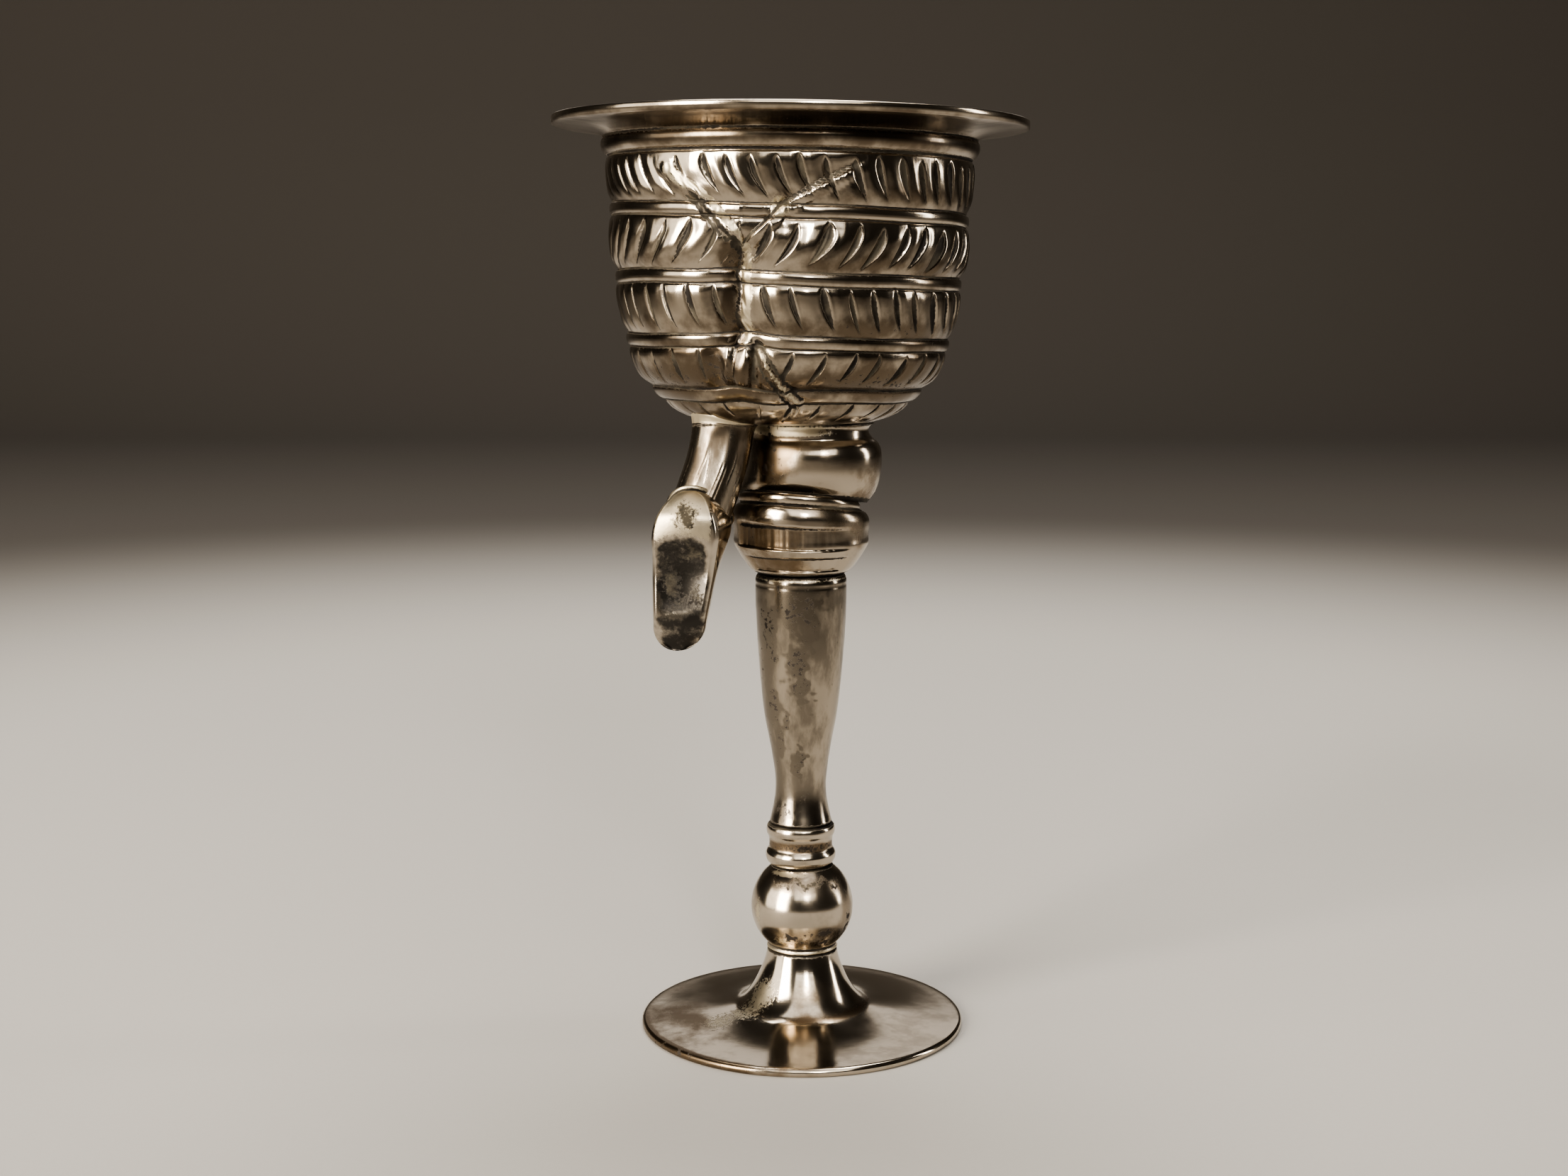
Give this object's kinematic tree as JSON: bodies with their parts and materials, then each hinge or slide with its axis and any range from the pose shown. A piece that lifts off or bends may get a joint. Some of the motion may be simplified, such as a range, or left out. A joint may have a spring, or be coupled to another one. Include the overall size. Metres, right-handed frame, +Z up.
{
  "type": "chalice",
  "caption": "Stem cup with a chased bowl shaped as slashed breeches, carried on a turned peg leg, ball and flat foot, with a stockinged and shod leg hanging beside it.",
  "frame": {"origin": "under the middle of the rim, on the plane that the foot stands on", "axes": "+Z up; -Y towards the seat of the breeches and the sole of the shoe; +X towards the peg leg's side"},
  "size_m": [0.0912, 0.0912, 0.1796],
  "materials": {
    "bowl_silver": "worn polished silver, dark residue in the chasing",
    "stocking_silver": "filed and scratched silver, brown tarnish",
    "shoe_silver": "polished edges, blue-black tarnish in the arch of the sole",
    "stump_silver": "polished silver with a thin grey tarnish",
    "cushion_silver": "hammered flats, dull between their edges",
    "peg_silver": "polished silver with black speckled patches",
    "collar_silver": "worn rings, black residue between them",
    "knop_silver": "polished ball with scaly dark patches near its joints",
    "foot_silver": "bright polished sheet with fine scratches and specks"
  },
  "bodies": {
    "root": {"bowl": "bowl_silver", "stocking_leg": "stocking_silver", "shoe": "shoe_silver", "knee_stump": "stump_silver", "knee_cushion": "cushion_silver", "peg": "peg_silver", "ring_collar": "collar_silver", "ball_knop": "knop_silver", "foot": "foot_silver"}
  },
  "joints": []
}
